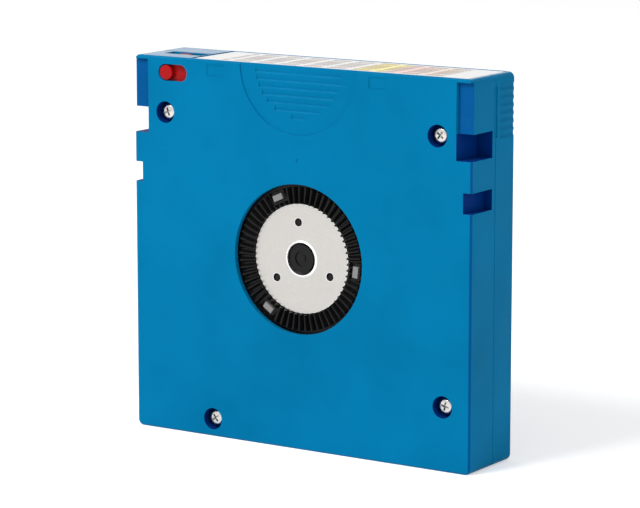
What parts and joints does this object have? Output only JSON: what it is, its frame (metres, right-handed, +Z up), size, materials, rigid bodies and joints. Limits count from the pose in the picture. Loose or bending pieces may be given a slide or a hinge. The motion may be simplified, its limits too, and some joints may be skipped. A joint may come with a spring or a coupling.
{
  "type": "data tape cartridge",
  "caption": "Half-inch single-reel data tape cartridge: two-part case, toothed reel with brake, sliding leader door and write-protect slider.",
  "frame": {"origin": "centre of the underside of the leading edge, on which the cartridge stands", "axes": "+Z up from the leading edge to the label edge, +X across the width, to the right when looking at the hub side, +Y from the hub side to the plain side"},
  "size_m": [0.1054, 0.0216, 0.102],
  "materials": {
    "case_plastic": "fine-textured moulded polycarbonate, blue",
    "screw_steel": "bright zinc-plated pan heads",
    "label_paper": null,
    "reel_plastic": "black moulded, satin",
    "plate_steel": "satin stamped steel",
    "flange_plastic": "smoke-black moulded flange",
    "tape_film": "dark brown coated film",
    "release_plastic": "light grey moulded",
    "brake_plastic": "grey moulded",
    "spring_steel": "drawn spring wire and strip",
    "pin_steel": "polished turned steel",
    "clamp_plastic": "natural white moulded",
    "door_plastic": "black moulded, satin",
    "slider_plastic": "glossy moulded red",
    "board_laminate": "green solder mask",
    "chip_epoxy": "black potting"
  },
  "bodies": {
    "case": {"hub_shell": "case_plastic", "plain_shell": "case_plastic", "case_screw_1": "screw_steel", "case_screw_2": "screw_steel", "case_screw_3": "screw_steel", "case_screw_4": "screw_steel", "label": "label_paper", "brake_spring": "spring_steel", "leader_pin": "pin_steel", "tape_leader": "tape_film", "tape_clamp": "clamp_plastic", "pin_spring": "spring_steel", "door_spring": "spring_steel", "memory_board": "board_laminate", "memory_chip": "chip_epoxy"},
    "reel": {"reel_hub": "reel_plastic", "hub_plate": "plate_steel", "reel_flange": "flange_plastic", "tape_pack": "tape_film"},
    "release": {"release_plate": "release_plastic"},
    "brake": {"brake_button": "brake_plastic"},
    "door": {"door": "door_plastic"},
    "write_protect": {"write_protect_slider": "slider_plastic"}
  },
  "joints": [
    {"name": "reel_spin", "type": "hinge", "parent": "case", "child": "reel", "pos_m": [0, 0, 0.051], "axis": [0, 1, 0], "continuous": true},
    {"name": "release_lift", "type": "slide", "parent": "reel", "child": "release", "axis": [0, 1, 0], "range_m": [0, 0.002]},
    {"name": "brake_lift", "type": "slide", "parent": "case", "child": "brake", "axis": [0, 1, 0], "range_m": [0, 0.002], "stiffness_N_per_m": 300, "springref_m": -0.004, "deforming": ["brake_spring"]},
    {"name": "door_slide", "type": "slide", "parent": "case", "child": "door", "axis": [0, 0, 1], "range_m": [0, 0.017], "stiffness_N_per_m": 40, "springref_m": -0.01, "deforming": ["door_spring"]},
    {"name": "write_protect_slide", "type": "slide", "parent": "case", "child": "write_protect", "axis": [1, 0, 0], "range_m": [0, 0.005]}
  ],
  "couplings": [
    {"joint": "release_lift", "follows": "brake_lift", "ratio": 1}
  ]
}
